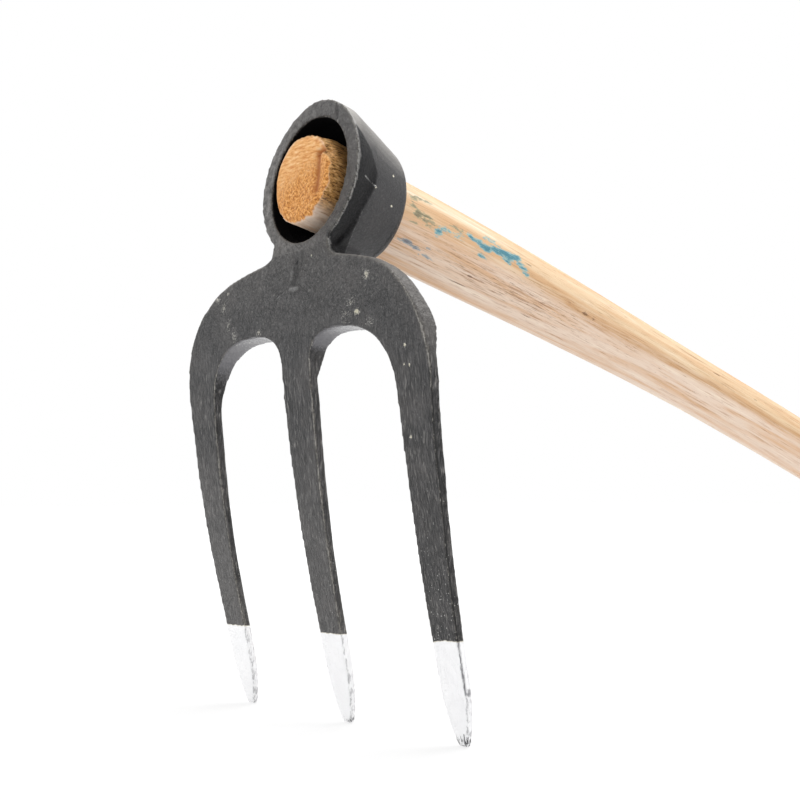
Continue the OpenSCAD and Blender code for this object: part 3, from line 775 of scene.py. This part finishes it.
# %% Shave, hack and chip the side
across = np.stack([R * np.cos(T), R * np.sin(T), S], -1).reshape(-1, 3)
flats = np.abs(np.cos(4.5 * T + 0.004 * S)) ** 6 * 0.16
fibres = 0.07 * ripple(across, (1.1, 1.1, 18)).reshape(S.shape)
swell = 0.12 * ripple(across, (14, 14, 60)).reshape(S.shape)
hacked = ramp(S, 38, 24)
tears = 0.5 * np.abs(ripple(across, (1.5, 1.5, 11)).reshape(S.shape)) * hacked
flat_top = 2.6 * np.exp(-((T - 1.55) / 0.95) ** 2) * ramp(S, 11, 0)
chip = 2.6 * np.exp(-((T - 0.48) / 0.14) ** 2) * ramp(S, 5, 1)
cuts = flats + 0.1 + fibres + swell + tears + flat_top + chip
R = np.minimum(R - cuts, radius(S) - 0.02)  # never outside the handle of the frame

# %% [markdown]
# The sawn face is shaped in its own plane. Noise gives it lumps, coarser low down, where the fibres
# broke off before the saw was through. A crack runs in from the chip, and a valley goes down from it.
# Then the middle line carries every vertex to its place on the bowed handle.

# %% Shape the sawn end
X0, Y0 = K * R * np.cos(T), K * R * np.sin(T)
disc = np.stack([X0, Y0, 0 * S], -1).reshape(-1, 3)
crack = np.minimum(near_line(disc, (18, 8.5, 0), (12.5, 9, 0)),
                   near_line(disc, (12.5, 9, 0), (9.5, 8, 0)))
valley = near_line(disc, (10.5, 7, 0), (12, -8, 0))
coarse = np.clip(0.55 - (0.5 * disc[:, 1] - 0.25 * disc[:, 0]) / 14, 0.12, 1.3)
lumps = coarse * (0.25 * ripple(disc, 1.3) + 0.65 * ripple(disc, 2.8)) + 0.45 * ripple(disc, 8)
sawn = 0.9 + lumps + 2.0 * np.exp(-(crack / 1.0) ** 2) + 0.9 * np.exp(-(valley / 1.7) ** 2)
sawn += 0.8 * np.clip(np.hypot(X0, Y0).ravel() - 17, 0, 3)
on_face = S < 0.01
sawn = np.clip(sawn, 0.1, None).reshape(S.shape) * on_face
sawn += sawn[len(cap_share)] * ramp(S, 8, 0) * ~on_face  # the side follows the rim
slant = math.tan(EYE_RAKE - FACE_LEAN)
along = S + sawn - ramp(S, 30, 0) * slant * Y0
Y, Z, slope = middle_line(along)
places = np.stack([X0, Y + Y0 * np.sin(slope), Z + Y0 * np.cos(slope)], -1).reshape(-1, 3)
print("handle:", S.size, "vertices")

# %% [markdown]
# Every four neighbours in the grid make a face, and a fan of triangles closes the middle of each end.
# Each vertex also keeps its place on the straight stick, which the wood's grain follows.

# %% Join the grid into a mesh
rows = len(ring_s)
pairs = [(a, (a + 1) % AROUND) for a in range(AROUND)]
faces = [(r * AROUND + a, r * AROUND + b, (r + 1) * AROUND + b, (r + 1) * AROUND + a)
         for r in range(rows - 1) for a, b in pairs]
ends = [places[:AROUND].mean(0), places[-AROUND:].mean(0)]
first, last, last_ring = len(places), len(places) + 1, (rows - 1) * AROUND
faces += [(first, b, a) for a, b in pairs]
faces += [(last, last_ring + a, last_ring + b) for a, b in pairs]
places = np.vstack([places, ends])
low, high = [1000 * np.array(corner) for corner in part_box("handle")]
places = np.clip(places, low, high)
handle_mesh = bpy.data.meshes.new("hardwood_handle")
handle_mesh.from_pydata((places / 1000).tolist(), [], faces)
shell = bmesh.new()
shell.from_mesh(handle_mesh)
bmesh.ops.recalc_face_normals(shell, faces=shell.faces)
shell.to_mesh(handle_mesh)
shell.free()

straight = np.stack([X0, Y0, S], -1).reshape(-1, 3)
straight = np.vstack([straight, [straight[:AROUND].mean(0), straight[-AROUND:].mean(0)]])
store(handle_mesh, "grain", straight)

# %% [markdown]
# ## Marks along the wood
#
# Somebody wiped a brush of blue-green paint along the handle near the head, and older green and grey
# dabs lie beside it. Each is a chain of blobs, by distance along the handle and angle round it, and
# the material tears it into strokes. Knots are marked the same way.

# %% Dabs of paint, and knots
angle = np.degrees(np.append(T.ravel(), [0, 0]))
distance = np.append(S.ravel(), [0, LENGTH])


def dabs(*spots):
    """Blobs on the handle's side: distance, angle, half length, half angle, strength."""
    total = np.zeros(len(angle))
    for s, a, half_s, half_a, strength in spots:
        away = ((distance - s) / half_s) ** 2 + ((angle - a) / half_a) ** 2
        total = np.maximum(total, strength * np.exp(-away))
    return total


smear = dabs((62, -7, 2.6, 7, 1.2), (64.5, 2, 2, 5, 0.9), (68, 0, 4, 5, 0.7), (73, 3, 4, 6, 0.75),
             (79.5, 11, 3, 5, 1.1), (84, 9, 3.5, 5, 1.2), (88.5, 6, 4, 6, 1.4), (94, 11, 5, 6, 1.4),
             (100, 13, 6, 7, 1.5), (106, 17, 5, 7, 1.3), (109, 12, 3, 7, 0.9), (111.5, 7, 3, 4, 1.3),
             (114, 1, 2.5, 4, 1.3), (102, 4, 3, 4, 1.0), (92, 22, 7, 5, 0.8), (87, -8, 5, 3, 0.9))
green = dabs((46, 24, 3, 6, 0.9), (50, 28, 4, 4, 0.9), (54, 30, 4, 3, 0.9), (47, 12, 2.5, 6, 1.0),
             (50, 4, 3, 9, 1.1), (54, 3, 4, 10, 0.95), (58, -1, 3, 7, 0.8), (48, -11, 4, 3, 0.8),
             (71, 12, 5, 4, 0.8))
grey = dabs((50, -39, 4, 5, 1.1), (55, -41, 5, 3, 1.1), (62, -46, 5, 3, 1.0), (60, -33, 3, 3, 0.8))
knots = dabs((87, -42, 1.5, 4, 1.2), (115.5, 18, 3, 3, 0.9), (154, -8, 2.2, 5, 1.3),
             (160, -11, 2, 4, 0.9), (171, -52, 8, 2, 1.0), (250, 22, 5, 3, 0.9),
             (281, 16, 3, 4, 0.9), (240, -36, 5, 2, 0.8), (128, -60, 9, 2, 0.8),
             (84, -62, 9, 2, 0.8))

# %% [markdown]
# The other marks of the wood are broad. The upper side is tanned and the underside is painted paler,
# as painted light from the white floor, and a brown band runs along it. The sawn end is pale where
# the saw ran cleanly and deep orange in its crack and valley, and the stub behind it was hacked.

# %% Tan, saw marks and stub
# Tan on the upper side; the paler underside is painted light from the white floor.
tan_and_floor_light = ramp(np.sin(np.radians(angle)), -0.30, 0.10)
band_angle = np.interp(distance, [110, 180, 320], [-6, -13, -3])
band_half = np.interp(distance, [130, 180, 320], [11, 8, 5])
brown_band = np.exp(-((angle - band_angle) / band_half) ** 2)
brown_band *= ramp(distance, 95, 150) * ramp(distance, 480, 330)

within_disc = (K < 0.999).ravel()
share_of_end = np.append(within_disc & (S.ravel() < LENGTH / 2), [1.0, 0.0])
pale_end = ramp(straight[:, 1] - 0.35 * straight[:, 0], -6, 9) * share_of_end
rim = ramp(np.hypot(straight[:, 0], straight[:, 1]), 15.5, 18) * ramp(straight[:, 1], 4, 12)
deep = np.append(np.exp(-(valley / 1.6) ** 2) + np.exp(-(crack / 1.2) ** 2), [0, 0])
deep = np.clip(deep * share_of_end, 0, 1)
stub = ramp(distance, 36, 26) * (1 - share_of_end) * ramp(angle, -58, -30)
weathered = np.exp(-((distance - 110) / 60) ** 2) * np.exp(-((angle + 35) / 28) ** 2)
sawn_butt = np.append(within_disc & (S.ravel() > LENGTH / 2), [0.0, 1.0])
for name, values in {
        "smear": smear, "green": green, "grey": grey, "knots": knots, "tan_and_floor_light": tan_and_floor_light,
        "brown_band": brown_band, "sawn": share_of_end * 1.0, "pale_end": pale_end,
        "rim": rim * share_of_end, "deep": deep, "stub": stub, "weathered": weathered,
        "butt": sawn_butt * 1.0}.items():
    store(handle_mesh, name, values)

# %% [markdown]
# ## Pale hardwood, shaved and bare
#
# The wood is a pale, pinkish, close-grained hardwood without oil or varnish, tanned on its upper side
# by the sun; its underside is painted paler, as painted light from the white floor. Its vessels show
# as fine dark lines under half a millimetre wide, with short dark dashes among them. The sawn end
# shows the same vessels from above, as specks in an orange-tan disc.

# %% Bare wood
hardwood, tree, shader = new_material("pale bare hardwood")
grain = add(tree, "ShaderNodeAttribute", attribute_name="grain").outputs["Vector"]
fine = noise(grain, 1.0, 5.0, 0.65, stretch=(1.5, 1.5, 0.05))
broad = noise(grain, 1.0, 5.0, 0.6, stretch=(0.20, 0.20, 0.010), Distortion=0.5)
vessels = noise(grain, 1.0, 3.0, 0.7, stretch=(2.4, 2.4, 0.13))
speckle = noise(grain, 0.9, 6.0, 0.72)
# Tan on top, and a paler underside as painted light from the white floor.
wood = tint(mark("tan_and_floor_light"), "#e4cebb", "#e3c7a3")
wood = tint(between(broad, 0.46, 0.62, 0.0, 0.75), wood, "#d3a77c")
wood = tint(between(broad, 0.42, 0.32, 0.0, 0.7), wood, "#f2e2cf")
wood = tint(between(fine, 0.52, 0.70, 0.0, 0.60), wood, "#b98a63")
wood = tint(times(mark("brown_band"), between(fine, 0.32, 0.60, 0.35, 0.85)), wood, "#c08f5a")
weathered = between(mark("weathered"), 0.0, 1.0, 0.0, 0.12)
wood = tint(between(maths("ADD", vessels, weathered), 0.65, 0.74, 0.0, 0.65), wood, "#7d5637")
wood = tint(between(maths("ADD", fine, weathered), 0.60, 0.78, 0.0, 0.5), wood, "#93694a")
knot = between(maths("MULTIPLY_ADD", mark("knots"), 0.30, fine), 0.72, 0.80)
wood = tint(times(knot, 0.75), wood, "#6b4a33")

# %% [markdown]
# The hacked stub in the eye is rough and brown with torn fibres. The sawn end is orange-tan and
# speckled low down, pale and smooth above where the saw ran cleanly, and dark along its crack. Its
# grain was pulled slantwise, so the smooth part takes its noise from a turned space.

# %% Stub and sawn end
torn = noise(grain, 1.0, 6.0, 0.75, stretch=(1.3, 1.3, 0.24))
stub_tone = tint(between(torn, 0.40, 0.50), "#4f300f", "#bf8c50")
stub_tone = tint(between(torn, 0.54, 0.64), stub_tone, "#ecc48a")
wood = tint(mark("stub"), wood, stub_tone)
tilted = add(tree, "ShaderNodeMapping", {"Vector": grain, "Rotation": (0.0, 0.0, math.radians(-55)),
                                         "Scale": (0.22, 0.9, 1.0)}).outputs[0]
pulled = noise(tilted, 1.0, 5.0, 0.65)
end_tone = tint(between(speckle, 0.36, 0.52), "#8f4f1d", "#d99448")
end_tone = tint(between(speckle, 0.52, 0.66), end_tone, "#f3c987")
smooth_tone = tint(between(pulled, 0.36, 0.52), "#c9813f", "#e6ab68")
smooth_tone = tint(between(pulled, 0.52, 0.66), smooth_tone, "#f3cb98")
end_tone = tint(mark("pale_end"), end_tone, smooth_tone)
end_tone = tint(times(mark("rim"), 0.8), end_tone, "#f0d6ba")
end_tone = tint(times(mark("deep"), between(speckle, 0.3, 0.6, 0.5, 1.0)), end_tone, "#9c5824")
wood = tint(mark("sawn"), wood, end_tone)
wood = tint(mark("butt"), wood, tint(between(speckle, 0.4, 0.6), "#c79a66", "#e3c297"))

# %% [markdown]
# Old paint clings to the ridges between the vessels, so each smear is torn by the same noise.

# %% Paint smears
strokes = noise(grain, 1.0, 6.0, 0.72, stretch=(0.75, 0.75, 0.28))
for name, code, thin_code, most in [("smear", "#2c7f93", "#8fb9bb", 0.92),
                                    ("green", "#59604e", "#9a9b80", 0.78),
                                    ("grey", "#496478", "#93a3ab", 0.80)]:
    reach_up = maths("MULTIPLY_ADD", mark(name), 0.35, strokes)
    torn_dab = times(between(reach_up, 0.66, 0.76, 0.0, most), between(mark(name), 0.08, 0.30))
    thick = between(maths("MULTIPLY_ADD", fine, 0.5, reach_up), 0.98, 1.16)
    wood = tint(torn_dab, wood, tint(thick, thin_code, code))
furrows = maths("ADD", fine, vessels)
bump = add(tree, "ShaderNodeBump", {"Height": furrows, "Strength": 0.45, "Distance": 0.0004},
           invert=True).outputs[0]
tree.links.new(wood, shader.inputs["Base Color"])
tree.links.new(bump, shader.inputs["Normal"])
shader.inputs["Roughness"].default_value = 0.65
shader.inputs["IOR"].default_value = 1.42
handle_mesh.materials.append(hardwood)

handle = bpy.data.objects.new("hardwood_handle", handle_mesh)
bpy.context.scene.collection.objects.link(handle)
handle_mesh.shade_smooth()
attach(handle, "root")
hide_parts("handle")

# %% [markdown]
# ## The view
#
# The colours are shown through the standard view transform.

# %% View settings
bpy.context.scene.view_settings.view_transform = "Standard"
